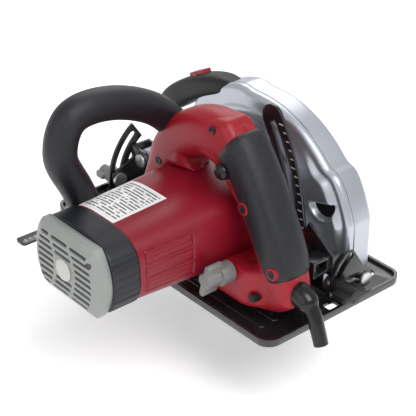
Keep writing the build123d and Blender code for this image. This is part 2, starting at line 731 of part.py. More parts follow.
# ---- Rear handle: two shells about a finger opening
top_edge = ((42, 60), (33, 83), (15, 112), (-10, 134), (-37, 147), (-60, 150))
grip_rear = ((-70.5, 141), (-82, 129), (-103, 103), (-120, 73.5), (-131, 42))
grip_front = ((-58, 103), (-77, 86), (-92, 61), (-98, 48))
bottom_edge = ((-134, 24), (-122, 14), (-60, 13), (-42, 24), (-42, 60))
finger_gap = ((-16, 96), (-15, 106), (-32, 113), (-50, 110)) + grip_front + ((-90, 44), (-64, 44), (-64, 80))
switch_pocket = ((-49, 112), (-69, 112), (-106, 80), (-118, 62), (-112, 52), (-90, 40))
trigger_hinge = (-63.0, 103.0)
button_at = (-64.0, 113.0)


def handle_half_shell(low_y, length):
    """One half of the rear handle between two planes square to Y."""
    with BuildSketch(side(low_y), mode=Mode.PRIVATE) as half:
        outline(*top_edge, *grip_rear, *bottom_edge)
        outline(*finger_gap, mode=Mode.SUBTRACT)
    extrude(half.sketch, amount=-length)


handle_screws = ((-50, 140), (14, 90), (-88, 92), (-120, 51), (-104, 24))
with BuildPart() as handle_right_shell:
    handle_half_shell(handle_right, handle_half)
    chamfer(handle_right_shell.edges().group_by(Axis.Y)[0], edge_round)
    rod(side(arm_y + arm_sheet + 0.3), clamp, 8, -(handle_right - arm_y - arm_sheet - 0.3))
    add(housing_body.part, mode=Mode.SUBTRACT)
    add(front_handle.part, mode=Mode.SUBTRACT)
    rod(side(arm_y), clamp, 3 + running_gap, -80, Mode.SUBTRACT)
    with BuildSketch(side(handle_y - 5.3)):
        outline(*switch_pocket)
    extrude(amount=-20, mode=Mode.SUBTRACT)
finish(handle_right_shell, "handle_right_shell")

with BuildPart() as handle_left_shell:
    handle_half_shell(handle_y, handle_half)
    chamfer(handle_left_shell.edges().group_by(Axis.Y)[-1], edge_round)
    with BuildSketch(Plane.XY.offset(13)):
        outline((-118, handle_y + 6), (-118, handle_left - 4), (-96, clamp_block_left),
                (-52, clamp_block_left), (-52, handle_y + 6))
    extrude(amount=31)
    add(housing_body.part, mode=Mode.SUBTRACT)
    add(front_handle.part, mode=Mode.SUBTRACT)
    rod(side(arm_y), clamp, 3 + running_gap, -90, Mode.SUBTRACT)
    with BuildSketch(side(handle_y - 5.3)):
        outline(*switch_pocket)
    extrude(amount=-10.6, mode=Mode.SUBTRACT)
    rod(side(handle_y + 6), button_at, 7 + running_gap, -20, Mode.SUBTRACT)
    for screw in handle_screws:
        rod(side(handle_left - 4), screw, 3, -20, Mode.SUBTRACT)
finish(handle_left_shell, "handle_left_shell")

with BuildPart() as handle_screw_set:
    for screw in handle_screws:
        rod(side(handle_left - 4), screw, 2.9, -2)
finish(handle_screw_set, "handle_screw_set")

pad_outline = ((-60, 132), (-71, 140), (-82, 128), (-102, 103), (-119, 73.5), (-127, 46.5), (-103, 46.5),
               (-94, 61), (-79, 86))
with BuildPart() as grip_left:
    with BuildSketch(side(handle_left)):
        outline(*pad_outline)
    extrude(amount=-2)
    fillet(grip_left.edges().filter_by(Axis.Y), 2)
    chamfer(grip_left.edges().group_by(Axis.Y)[-1], 1)
    for screw in handle_screws:
        rod(side(handle_left), screw, 4, -3, Mode.SUBTRACT)
    rod(side(handle_left), button_at, 8.5, -3, Mode.SUBTRACT)
finish(grip_left, "grip_left")

with BuildPart() as grip_right:
    with BuildSketch(side(handle_right)):
        outline(*pad_outline)
    extrude(amount=2)
    fillet(grip_right.edges().filter_by(Axis.Y), 2)
    chamfer(grip_right.edges().group_by(Axis.Y)[0], 1)
finish(grip_right, "grip_right")

with BuildPart() as trigger:
    with BuildSketch(side(handle_y - 5)):
        with Locations(trigger_hinge):
            Circle(4)
        outline((-60, 102), (-66, 106), (-88, 84), (-92, 72), (-84, 70), (-72, 80))
        with Locations(trigger_hinge):
            Circle(2 + running_gap, mode=Mode.SUBTRACT)
    extrude(amount=-10)
    fillet(trigger.edges().filter_by(Axis.Y).sort_by(Axis.Z)[:2], 2)
finish(trigger, "trigger")

with BuildPart() as trigger_pin:
    rod(side(handle_y - 5.3), trigger_hinge, 2, -10.6)
finish(trigger_pin, "trigger_pin")

with BuildPart() as switch_block:
    with Locations(Location((-106, handle_y, 66), (0, 33, 0))):
        Box(8, 10, 18)
finish(switch_block, "switch_block")

with BuildPart() as lock_off_button:
    rod(side(handle_y + 9.5), button_at, 7, -14)
    fillet(lock_off_button.edges().group_by(Axis.Y)[-1], 4)
finish(lock_off_button, "lock_off_button")

# ---- Cord guard at the bottom of the handle, a tapering sleeve that bends down
sleeve_steps = ((-124, 33, 0, 9.5), (-139, 30, -25, 9), (-148, 20.5, -58, 7.5), (-152.5, 9.5, -70, 6.5),
                (-156, 0.5, -70, 5.5))


def sleeve_ring(step):
    """A round face across the bend; a step gives X, Z, the ring's heading and its radius."""
    x, z, heading, radius = step
    run = (-cos(radians(heading)), 0, sin(radians(heading)))
    with BuildSketch(Plane(origin=(x, handle_y, z), x_dir=(0, 1, 0), z_dir=run), mode=Mode.PRIVATE) as ring:
        Circle(radius)
    return ring.sketch.faces()[0]


with BuildPart() as cord_guard:
    for near, far in zip(sleeve_steps, sleeve_steps[1:]):
        loft([sleeve_ring(near), sleeve_ring(far)])
    add(handle_left_shell.part, mode=Mode.SUBTRACT)
    add(handle_right_shell.part, mode=Mode.SUBTRACT)
    with BuildSketch(Plane(origin=(-156, handle_y, 0.5), x_dir=(0, 1, 0), z_dir=(-0.34, 0, -0.94))):
        Circle(3.2)
    extrude(amount=-10, mode=Mode.SUBTRACT)
finish(cord_guard, "cord_guard")

# ---- Depth clamp
with BuildPart() as depth_clamp_bolt:
    rod(side(arm_y - 0.2), clamp, 3, -(clamp_block_left - arm_y + 16))
    rod(side(arm_y - 0.2), clamp, 7.5, 2.6)
finish(depth_clamp_bolt, "depth_clamp_bolt")

knob_face, knob_wing, knob_end = clamp_block_left + 0.4, clamp_block_left + 12.0, clamp_block_left + 25.0
with BuildPart() as depth_knob:
    rod(side(knob_face), clamp, 8.5, knob_face - knob_wing)
    rod(side(knob_wing), clamp, 6, knob_wing - knob_end)
    with BuildSketch(side(knob_wing)):
        with Locations(Location(clamp, 105)):
            RectangleRounded(29, 5, 2.2)
    extrude(amount=knob_wing - knob_end)
    rod(side(knob_face), clamp, 3 + running_gap, knob_face - knob_end + 5, Mode.SUBTRACT)
finish(depth_knob, "depth_knob")

# ---- Work light on the raised front of the guard
light_y = (-22.0, -46.0)
rocker_at, rocker_y, rocker_slope = (66.0, 120.5), -34.0, 26.0
with BuildPart() as light_unit:
    with BuildSketch(side(light_y[0])):
        outline((22, 136), (51, 126), (86, 108), (111, 84), (104, 74), (80, 84), (27, 112))
        with Locations(spindle):
            Circle(front_radius + 0.1, mode=Mode.SUBTRACT)
    extrude(amount=light_y[0] - light_y[1])
    chamfer(light_unit.edges().group_by(Axis.Y)[0], 2)
    with Locations(Location((rocker_at[0], rocker_y, rocker_at[1]), (0, rocker_slope, 0))):
        Box(19.4, 10.4, 9.6, mode=Mode.SUBTRACT)
    rod(side(rocker_y + 7.7), rocker_at, 1.5 + running_gap, 15.4, Mode.SUBTRACT)
finish(light_unit, "light_unit")

with BuildPart() as light_switch:
    with Locations(Location((rocker_at[0], rocker_y, rocker_at[1]), (0, rocker_slope, 0))):
        Box(17.6, 9.6, 7)
    fillet(light_switch.edges().filter_by(Axis.Y), 0.8)
    rod(side(rocker_y + 7.4), rocker_at, 1.5, 14.8)
finish(light_switch, "light_switch")

guard_screw_at = (polar(60, 92, spindle), polar(100, 92, spindle), polar(160, 99, spindle))
with BuildPart() as guard_screws:
    for screw in guard_screw_at:
        rod(side(guard_outer_y), screw, 3.2, 1.6)
finish(guard_screws, "guard_screws")

with BuildPart() as cap_screws:
    for screw in cap_screw_at:
        rod(side(cap_end - 3), screw, 2.4, -2)
finish(cap_screws, "cap_screws")
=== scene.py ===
import bpy
import json
import math
import numpy as np
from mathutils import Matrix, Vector


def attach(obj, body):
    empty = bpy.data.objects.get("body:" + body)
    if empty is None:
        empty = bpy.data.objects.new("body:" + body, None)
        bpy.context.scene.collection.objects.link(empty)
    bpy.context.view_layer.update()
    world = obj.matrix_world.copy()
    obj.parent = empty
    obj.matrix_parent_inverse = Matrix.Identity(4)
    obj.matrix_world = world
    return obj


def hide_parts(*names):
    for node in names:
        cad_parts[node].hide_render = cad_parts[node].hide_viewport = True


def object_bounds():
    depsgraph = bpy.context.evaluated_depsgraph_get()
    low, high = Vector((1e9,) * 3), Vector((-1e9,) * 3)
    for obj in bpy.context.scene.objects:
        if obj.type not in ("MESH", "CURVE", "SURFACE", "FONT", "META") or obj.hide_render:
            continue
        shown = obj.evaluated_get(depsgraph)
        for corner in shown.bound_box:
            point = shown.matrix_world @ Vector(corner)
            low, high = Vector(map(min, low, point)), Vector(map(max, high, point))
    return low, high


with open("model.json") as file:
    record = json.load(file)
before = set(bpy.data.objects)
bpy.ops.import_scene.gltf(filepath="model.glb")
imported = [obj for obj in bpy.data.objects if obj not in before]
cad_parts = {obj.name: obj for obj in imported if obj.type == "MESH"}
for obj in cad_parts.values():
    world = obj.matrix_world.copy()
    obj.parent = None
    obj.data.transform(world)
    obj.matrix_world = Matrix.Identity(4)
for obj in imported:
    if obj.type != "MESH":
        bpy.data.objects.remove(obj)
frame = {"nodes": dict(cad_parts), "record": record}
cadLow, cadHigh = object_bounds()
nodes = frame["nodes"]
mm = 0.001  # pieces are worked out in millimetres; finishes, lights and camera are in metres
bodyOf = {node: body for body, members in frame["record"]["behaviour"]["bodies"].items()
          for node in members}
slotOf = {part["node"]: part["material_slot"] for part in frame["record"]["subparts"]}


# Small helpers for node trees: each takes either another node's output or a fixed value
def feed(tree, socket, value):
    if isinstance(value, bpy.types.NodeSocket):
        tree.links.new(value, socket)
    else:
        socket.default_value = value


def noise(tree, vector, scale, detail, distortion=0.0):
    # A cloudy value from nought to one, of the given grains per metre.
    node = tree.nodes.new("ShaderNodeTexNoise")
    settings = {"Vector": vector, "Scale": scale, "Detail": detail, "Distortion": distortion}
    for socket, value in settings.items():
        feed(tree, node.inputs[socket], value)
    return node.outputs["Fac"]


def remap(tree, value, low, high, newLow, newHigh):
    # The stretch from low to high becomes the stretch from newLow to newHigh, held at both ends.
    node = tree.nodes.new("ShaderNodeMapRange")
    settings = {"Value": value, "From Min": low, "From Max": high, "To Min": newLow, "To Max": newHigh}
    for socket, amount in settings.items():
        feed(tree, node.inputs[socket], amount)
    return node.outputs["Result"]


def mixColours(tree, first, second, amount):
    # The first colour where the amount is nought, the second where it is one.
    node = tree.nodes.new("ShaderNodeMix")
    node.data_type = "RGBA"
    for socket, value in (("A", first), ("B", second), ("Factor", amount)):
        feed(tree, node.inputs[socket], value)
    return node.outputs["Result"]


def compute(tree, operation, *values):
    # One sum on numbers, named as Blender's Math node names it.
    node = tree.nodes.new("ShaderNodeMath")
    node.operation = operation
    for socket, value in zip(node.inputs, values):
        feed(tree, socket, value)
    return node.outputs["Value"]


def splitPlace(tree, place):
    # The X and Y of a place.
    node = tree.nodes.new("ShaderNodeSeparateXYZ")
    feed(tree, node.inputs["Vector"], place)
    return node.outputs["X"], node.outputs["Y"]


def printedDashes(tree, place, rows):
    # One inside the dashes: rows across Y, each broken along X wherever a noise of its own is low.
    x, y = splitPlace(tree, place)
    row = compute(tree, "DIVIDE", y, rows["pitch"])
    inRow = compute(tree, "LESS_THAN", compute(tree, "FRACT", row), rows["inkedShare"])
    spot = tree.nodes.new("ShaderNodeCombineXYZ")
    feed(tree, spot.inputs["X"], compute(tree, "MULTIPLY", x, rows["dashesPerMetre"]))
    feed(tree, spot.inputs["Y"], compute(tree, "MULTIPLY", compute(tree, "FLOOR", row), rows["rowShift"]))
    dash = compute(tree, "GREATER_THAN", noise(tree, spot.outputs["Vector"], 1.0, 1.0), rows["gapLevel"])
    ink = compute(tree, "MULTIPLY", inRow, dash)
    for value, middle, half in zip((x, y), rows["middle"], rows["half"]):
        ink = compute(tree, "MULTIPLY", ink, compute(tree, "COMPARE", value, middle, half))
    return ink


# Each finish is a colour with slow patches, fine rubs, a grain that stands up, and an uneven gloss
usualLook = {"stretch": (1, 1, 1), "patchScale": 30, "grainScale": 1500, "markScale": 160, "markStart": 0.62,
             "markEnd": 0.78, "markAmount": 0.25, "dark": 0.82, "light": 1.15, "bump": 0.15,
             "bumpDepth": 0.00025, "metal": 0, "coat": 0, "coatRough": 0.2, "specular": 0.5}


def makeFinish(name, changes):
    look = {**usualLook, **changes}
    material = bpy.data.materials.new(name)
    material.use_nodes = True
    tree = material.node_tree
    shader = tree.nodes["Principled BSDF"]
    place = tree.nodes.new("ShaderNodeTexCoord").outputs["Object"]
    stretch = tree.nodes.new("ShaderNodeMapping")
    feed(tree, stretch.inputs["Vector"], place)
    feed(tree, stretch.inputs["Scale"], look["stretch"])
    drawn = stretch.outputs["Vector"]
    patches = noise(tree, place, look["patchScale"], 5)
    grain = noise(tree, drawn, look["grainScale"], 3)
    marks = noise(tree, drawn, look["markScale"], 8, 0.6)
    rubbed = remap(tree, marks, look["markStart"], look["markEnd"], 0, look["markAmount"])
    colour = np.array(look["colour"])
    darkTone = (*(colour * look["dark"]), 1)
    lightTone = (*np.minimum(colour * look["light"], 1), 1)
    wornTone = (*look.get("wear", np.minimum(colour * 1.6 + 0.03, 1)), 1)  # rubs show paler
    surface = mixColours(tree, mixColours(tree, darkTone, lightTone, patches), wornTone, rubbed)
    if "seam" in look:  # a dark parting line where the two halves meet, at a fixed Y
        line = compute(tree, "COMPARE", splitPlace(tree, place)[1], look["seam"], look["seamHalf"])
        surface = mixColours(tree, surface, (*(colour * 0.15), 1), line)
    if "print" in look:
        rows = look["print"]
        surface = mixColours(tree, surface, (*rows["ink"], 1), printedDashes(tree, place, rows))
    bump = tree.nodes.new("ShaderNodeBump")
    feed(tree, bump.inputs["Strength"], look["bump"])
    feed(tree, bump.inputs["Distance"], look["bumpDepth"])
    feed(tree, bump.inputs["Height"], grain)
    settings = {"Base Color": surface, "Roughness": remap(tree, patches, 0.3, 0.7, *look["rough"]),
                "Normal": bump.outputs["Normal"], "Metallic": look["metal"], "Coat Weight": look["coat"],
                "Coat Roughness": look["coatRough"], "Specular IOR Level": look["specular"]}
    for socket, value in settings.items():
        feed(tree, shader.inputs[socket], value)
    return material


handleMiddle = 37.5  # the handle's parting plane along Y
finishLooks = {
    "redPlastic": dict(colour=(0.20, 0.0035, 0.014), rough=(0.30, 0.42), patchScale=18, grainScale=2600,
                       bump=0.12, light=1.2, markAmount=0.05, specular=0.35),
    "redHandle": dict(colour=(0.27, 0.005, 0.014), rough=(0.34, 0.46), patchScale=18, grainScale=2600,
                      bump=0.12, markAmount=0.04, specular=0.35, seam=handleMiddle * mm, seamHalf=0.00022),
    "switchRed": dict(colour=(0.26, 0.006, 0.02), rough=(0.3, 0.4), grainScale=2400, bump=0.1),
    "blackRubber": dict(colour=(0.005, 0.0055, 0.008), rough=(0.34, 0.46), patchScale=220, grainScale=2400,
                        bump=0.55, bumpDepth=0.0004, light=2.4, dark=0.5, markAmount=0.10, specular=0.4,
                        wear=(0.05, 0.05, 0.055)),
    "darkPlastic": dict(colour=(0.006, 0.0065, 0.008), rough=(0.42, 0.6), grainScale=2600, bump=0.3,
                        specular=0.35),
    "ringPlastic": dict(colour=(0.008, 0.009, 0.014), rough=(0.38, 0.52), grainScale=2600, bump=0.2,
                        specular=0.4),
    "glossBlack": dict(colour=(0.005, 0.005, 0.006), rough=(0.2, 0.32), grainScale=1800, bump=0.08,
                       markAmount=0.06, specular=0.4, wear=(0.04, 0.04, 0.045)),
    "blackPaint": dict(colour=(0.010, 0.010, 0.012), rough=(0.18, 0.34), patchScale=14, grainScale=900,
                       bump=0.06, markScale=90, markAmount=0.18, coat=0.4, coatRough=0.12,
                       wear=(0.16, 0.16, 0.17)),
    "paleGrey": dict(colour=(0.25, 0.26, 0.25), rough=(0.42, 0.55), grainScale=2400, bump=0.22,
                     markAmount=0.1),
    "knobGrey": dict(colour=(0.17, 0.17, 0.165), rough=(0.38, 0.52), grainScale=2400, bump=0.25),
    "lightPlastic": dict(colour=(0.48, 0.48, 0.46), rough=(0.4, 0.55), grainScale=2400, bump=0.25),
    "labelFilm": dict(colour=(0.78, 0.78, 0.77), rough=(0.3, 0.42), bump=0.05, dark=0.95, light=1.02,
                      markAmount=0.05),
    "printedFilm": dict(colour=(0.74, 0.74, 0.73), rough=(0.32, 0.42), bump=0.05, dark=0.96, light=1.02,
                        markAmount=0.03,
                        print=dict(pitch=0.0031, inkedShare=0.46, dashesPerMetre=260.0, rowShift=7.31,
                                   gapLevel=0.42, middle=(-0.0165, 0.11125), half=(0.0188, 0.0222),
                                   ink=(0.07, 0.08, 0.09))),
    "satinCasting": dict(colour=(0.47, 0.49, 0.54), metal=0.8, rough=(0.26, 0.38), patchScale=22,
                         grainScale=2400, bump=0.12, light=1.08, dark=0.92, markAmount=0.12),
    "brightSteel": dict(colour=(0.58, 0.58, 0.58), metal=1, rough=(0.22, 0.38), stretch=(1, 8, 1),
                        markAmount=0.3),
    "coreLaminate": dict(colour=(0.16, 0.16, 0.17), metal=0.8, rough=(0.4, 0.6), stretch=(1, 40, 1)),
    "commutatorBrass": dict(colour=(0.62, 0.36, 0.16), metal=1, rough=(0.25, 0.4)),
    "carbonBlock": dict(colour=(0.03, 0.03, 0.03), rough=(0.6, 0.8), bump=0.4),
}
finishes = {name: makeFinish(name, look) for name, look in finishLooks.items()}
finishForSlot = {
    "black_paint": "blackPaint", "steel": "brightSteel", "silver_casting": "satinCasting",
    "red_plastic": "redPlastic", "dark_plastic": "darkPlastic", "light_plastic": "lightPlastic",
    "grey_plastic": "paleGrey", "rubber": "blackRubber", "label_film": "labelFilm",
    "lamination": "coreLaminate", "brass": "commutatorBrass", "carbon": "carbonBlock",
}
print("finishes made:", len(finishes))


# Helpers that put worked-out surfaces into meshes and pieces
def addObject(name, data):
    holder = bpy.data.objects.new(name, data)
    bpy.context.scene.collection.objects.link(holder)
    return holder


def placePiece(name, mesh, body, finish, replaced=(), sharp=32):
    # A finished piece that rides its body; edges steeper than the sharp angle stay crisp.
    mesh.polygons.foreach_set("use_smooth", np.ones(len(mesh.polygons), bool))
    mesh.set_sharp_from_angle(angle=math.radians(sharp))
    piece = addObject(name, mesh)
    mesh.materials.clear()
    mesh.materials.append(finishes[finish])
    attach(piece, body)
    if replaced:
        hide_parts(*replaced)
    return piece


def meshFrom(name, points, faces):
    # A mesh from an array of points in metres and a list of faces.
    mesh = bpy.data.meshes.new(name)
    mesh.from_pydata(np.asarray(points).tolist(), [], faces)
    return mesh


def gridFaces(rows, columns, wrap):
    # Quads between neighbouring rows and columns, the last column joined to the first when wrapped.
    r, c = np.meshgrid(np.arange(rows - 1), np.arange(columns if wrap else columns - 1), indexing="ij")
    nextC = (c + 1) % columns
    corners = [r * columns + c, r * columns + nextC, (r + 1) * columns + nextC, (r + 1) * columns + c]
    return np.stack(corners, -1).reshape(-1, 4)


def outwards(mesh):
    # Turn every face out, found from the shell's signed volume.
    mesh.calc_loop_triangles()
    points = np.empty(len(mesh.vertices) * 3)
    mesh.vertices.foreach_get("co", points)
    corners = np.empty(len(mesh.loop_triangles) * 3, int)
    mesh.loop_triangles.foreach_get("vertices", corners)
    a, b, c = points.reshape(-1, 3)[corners.reshape(-1, 3)].transpose(1, 0, 2)
    if np.einsum("ij,ij->i", a, np.cross(b, c)).sum() < 0:
        mesh.flip_normals()
    return mesh


def tubeMesh(name, rings):
    # Rings of points joined in order, each end closed by a fan to the middle of its ring.
    rings = rings * mm
    rows, columns, _ = rings.shape
    points = np.vstack([rings.reshape(-1, 3), rings[0].mean(0), rings[-1].mean(0)])
    here = np.arange(columns)
    after = (here + 1) % columns
    last = (rows - 1) * columns
    faces = gridFaces(rows, columns, True).tolist()
    faces += np.stack([after, here, np.full(columns, rows * columns)], -1).tolist()
    faces += np.stack([last + here, last + after, np.full(columns, rows * columns + 1)], -1).tolist()
    mesh = meshFrom(name, points, faces)
    mesh.validate()
    return outwards(mesh)


def stitchedShell(name, outer, inner):
    # A closed skin from two matching grids: the outer one, the inner one turned round, and a rim along
    # all four sides.
    rows, columns, _ = outer.shape
    count = rows * columns
    index = np.arange(count).reshape(rows, columns)
    faces = gridFaces(rows, columns, False)
    border = np.concatenate([index[0, :-1], index[:-1, -1], index[-1, :0:-1], index[:0:-1, 0]])
    following = np.roll(border, -1)
    rim = np.stack([border, following, following + count, border + count], -1)
    faces = np.vstack([faces, faces[:, ::-1] + count, rim[:, ::-1]])
    points = np.vstack([(outer * mm).reshape(-1, 3), (inner * mm).reshape(-1, 3)])
    return outwards(meshFrom(name, points, faces.tolist()))


def smoothLine(points, count):
    # A Catmull-Rom curve through the points, sampled evenly in its parameter, for any number of columns.
    points = np.asarray(points, float)
    padded = np.vstack([2 * points[0] - points[1], points, 2 * points[-1] - points[-2]])
    t = np.linspace(0, len(points) - 1, count)
    i = np.minimum(t.astype(int), len(points) - 2)
    u = (t - i)[:, None]
    p0, p1, p2, p3 = padded[i], padded[i + 1], padded[i + 2], padded[i + 3]
    squared = (2 * p0 - 5 * p1 + 4 * p2 - p3) * u**2
    cubed = (3 * p1 - p0 - 3 * p2 + p3) * u**3
    return 0.5 * (2 * p1 + (p2 - p0) * u + squared + cubed)


def signedPower(value, power):
    # The size raised to the power, with its sign kept.
    return np.sign(value) * np.abs(value) ** power


def smoothBox(value, low, high, soft):
    # One between low and high, nought outside, with soft logistic edges.
    return 1 / (1 + np.exp((low - value) / soft)) / (1 + np.exp((value - high) / soft))


def sweptRings(line, halves, widths, angles, power, middle, outAlong="y"):
    # Superellipse rings along a line in the XZ plane: the cosine side runs in that plane, the sine side
    # squarely out of it about the middle. Angles are one row for every ring, or a row for each. A line
    # drawn in the YZ plane goes out along X instead.
    angles = np.atleast_2d(angles)
    line = np.asarray(line, float)
    ahead = np.gradient(line, axis=0)
    ahead /= np.linalg.norm(ahead, axis=1, keepdims=True)
    normal = np.stack([-ahead[:, 1], ahead[:, 0]], 1)
    inPlane = signedPower(np.cos(angles), power)[..., None] * halves[:, None, None] * normal[:, None, :]
    flat = line[:, None, :] + inPlane
    out = middle + signedPower(np.sin(angles), power) * widths[:, None]
    order = [flat[..., 0], out, flat[..., 1]] if outAlong == "y" else [out, flat[..., 0], flat[..., 1]]
    return np.stack(order, -1)


def lathe(name, centre, profile, axis="y"):
    # A profile of (distance along the axis, radius) turned about the axis, closed at both ends.
    columns = 64
    angle = np.linspace(0, 2 * np.pi, columns, endpoint=False)
    profile = np.asarray(profile, float)
    rings = np.empty((len(profile), columns, 3))
    alongAxis, first, second = {"x": (0, 1, 2), "y": (1, 0, 2)}[axis]
    rings[..., alongAxis] = centre[alongAxis] + profile[:, :1]
    rings[..., first] = centre[first] + profile[:, 1:] * np.cos(angle)
    rings[..., second] = centre[second] + profile[:, 1:] * np.sin(angle)
    return tubeMesh(name, rings)


def boxesMesh(name, lows, highs):
    # Many closed boxes in one mesh, from arrays of low and high corners.
    corner = np.array([[i & 1, i >> 1 & 1, i >> 2 & 1] for i in range(8)])
    points = lows[:, None, :] + (highs - lows)[:, None, :] * corner[None]
    sides = np.array([[0, 2, 3, 1], [4, 5, 7, 6], [0, 1, 5, 4], [2, 6, 7, 3], [0, 4, 6, 2], [1, 3, 7, 5]])
    faces = sides[None] + 8 * np.arange(len(lows))[:, None, None]
    return meshFrom(name, points.reshape(-1, 3) * mm, faces.reshape(-1, 4).tolist())


def mergedSource(name, members):
    # Several CAD shapes in one mesh.
    points, faces, start = [], [], 0
    for node in members:
        source = nodes[node].data
        coords = np.empty(len(source.vertices) * 3)
        source.vertices.foreach_get("co", coords)
        corners = np.empty(len(source.loops), int)
        source.loops.foreach_get("vertex_index", corners)
        points.append(coords.reshape(-1, 3))
        faces.append(corners.reshape(-1, 3) + start)
        start += len(source.vertices)
    return meshFrom(name, np.vstack(points), np.vstack(faces).tolist())


def weldPiece(piece):
    # CAD triangles come loose, so corners at one place are joined before anything else.
    weld = piece.modifiers.new("weld", "WELD")
    weld.merge_threshold = 0.01 * mm


def castPiece(name, members, finish, look):
    # A moulded or cast body: the CAD shapes made one skin and softened until their edges flow together.
    mesh = mergedSource(name + "Shape", members)
    piece = placePiece(name, mesh, bodyOf[members[0]], finish, members)
    weldPiece(piece)
    skin = piece.modifiers.new("skin", "REMESH")
    skin.mode = "VOXEL"
    skin.voxel_size = look["voxel"] * mm
    skin.use_smooth_shade = True
    flow = piece.modifiers.new("flow", "SMOOTH")
    flow.factor = 0.5
    flow.iterations = look["passes"]


def dressedCopy(node, finish, bevel, sharp=30):
    # The CAD piece's own shape, merged, with softened edges and its finish.
    mesh = nodes[node].data.copy()
    mesh.name = node + "Shape"
    piece = placePiece(node + "_part", mesh, bodyOf[node], finish, [node], sharp)
    weldPiece(piece)
    soften = piece.modifiers.new("soften", "BEVEL")
    soften.width = bevel * mm
    soften.segments = 2
    soften.limit_method = "ANGLE"
    soften.angle_limit = math.radians(38)


darkened = ("handle_screw_set", "cap_screws")
for node, obj in nodes.items():
    finish = finishes["glossBlack" if node in darkened else finishForSlot[slotOf[node]]]
    obj.data.materials.clear()
    obj.data.materials.append(finish)
print("carried-over pieces finished:", len(nodes))

# Rear handle: one moulded body with a rounded arm, a rubber sleeve on the grip, screw wells and a button
handleLook = {
    "cast": {"voxel": 1.15, "passes": 60},
    # arm: X, Z, half thickness in the handle's plane, half thickness across it
    "arm": [(24, 74, 14, 14.5), (12, 97, 17.5, 15.8), (-8, 117.5, 18.5, 16.4), (-30, 128.5, 19, 16.6),
            (-51, 130, 19.5, 16.4), (-67, 123, 18.2, 16.0), (-82, 107, 16.6, 15.6), (-98, 82, 16.0, 15.4),
            (-109, 58, 16.2, 15.6), (-114, 40, 17, 16.0), (-113, 27, 14, 15.0)],
    "armSquareness": 0.78,
    # screw wells: X, Z and the Y of the face they sit in
    "wells": {"top": (-50, 140, 53.1), "front": (14, 90, 53.3), "grip": (-88, 92, 56.2),
              "heel": (-120, 51, 56.0), "foot": (-104, 24, 59.8)},
    "lips": ("grip", "heel"),
}
sleeveLook = {
    "line": [(-62, 131), (-72, 122.5), (-86, 103.5), (-101, 77), (-110, 57), (-114.2, 41)],
    "half": 17.4, "waist": 1.2, "width": 16.8, "widen": 1.0, "thickness": 2.6, "squareness": 0.72,
    "proud": 0.9, "dip": 2.6, "firstAngle": 64, "drawBack": 30, "lastAngle": 298,
}
castPiece("rearHandle", ["handle_left_shell", "handle_right_shell"], "redHandle", handleLook["cast"])
armPath = smoothLine(handleLook["arm"], 150)
armAngles = np.linspace(0, 2 * np.pi, 96, endpoint=False)
rings = sweptRings(armPath[:, :2], armPath[:, 2], armPath[:, 3], armAngles, handleLook["armSquareness"],
                   handleMiddle)
placePiece("handleArm", tubeMesh("handleArm", rings), "saw_body", "redHandle", sharp=60)

sleeveLine = smoothLine(sleeveLook["line"], 90)
along = np.linspace(0, 1, 90)
# The sleeve's front edge draws back towards the foot, and its two ends dip into the body.
firstAngle = sleeveLook["firstAngle"] + sleeveLook["drawBack"] * along[:, None] ** 1.5
sleeveTurn = np.linspace(0, 1, 72)[None, :]
sleeveAngles = np.radians(firstAngle + (sleeveLook["lastAngle"] - firstAngle) * sleeveTurn)
sleeveHalf = sleeveLook["half"] - sleeveLook["waist"] * np.sin(np.pi * along) ** 2
sleeveWidth = sleeveLook["width"] + sleeveLook["widen"] * along
lift = sleeveLook["proud"] - sleeveLook["dip"] * np.abs(2 * along - 1) ** 14
outer = sweptRings(sleeveLine, sleeveHalf + lift, sleeveWidth + lift, sleeveAngles,
                   sleeveLook["squareness"], handleMiddle)
inner = sweptRings(sleeveLine, sleeveHalf - sleeveLook["thickness"], sleeveWidth - sleeveLook["thickness"],
                   sleeveAngles, sleeveLook["squareness"], handleMiddle)
placePiece("gripSleeve", stitchedShell("gripSleeve", outer, inner), "saw_body", "blackRubber",
           ["grip_left", "grip_right"])

# Screw wells: a flush dark disc in each, painted shade standing in for the depth of the screw hole
wellShadeProfile = [(-6, 0.01), (-6, 3.4), (0.2, 3.4), (0.35, 3.1), (0.05, 2.4), (-0.2, 0.01)]
lipProfile = [(-6, 0.01), (-6, 5.2), (-0.2, 5.2), (0.15, 4.6), (0.15, 3.6), (-0.3, 0.01)]
for place, (x, z, face) in handleLook["wells"].items():
    well = lathe("screwWellShade_" + place, (x, face, z), wellShadeProfile)
    placePiece("screwWellShade_" + place, well, "saw_body", "darkPlastic", sharp=50)
for place in handleLook["lips"]:
    x, z, face = handleLook["wells"][place]
    lip = lathe("wellLip_" + place, (x, face, z), lipProfile)
    placePiece("wellLip_" + place, lip, "saw_body", "redHandle", sharp=50)

buttonLook = {"x": -64, "z": 113, "domeStart": 55.6, "domeHeight": 4.2, "domeRadius": 6.4}
dome = np.linspace(0, np.pi / 2, 14)
button = [(42.0, 0.01), (42.0, 6.6), (50.0, 6.6), (50.6, 5.6), (52.0, 5.6)]
button += list(zip(buttonLook["domeStart"] + buttonLook["domeHeight"] * np.sin(dome),
                   buttonLook["domeRadius"] * np.cos(dome) ** 0.7 + 0.01))
placePiece("lockOffDome", lathe("lockOffDome", (buttonLook["x"], 0, buttonLook["z"]), button),
           "lock_off_button", "glossBlack", ["lock_off_button"], 50)
print("rear handle made")

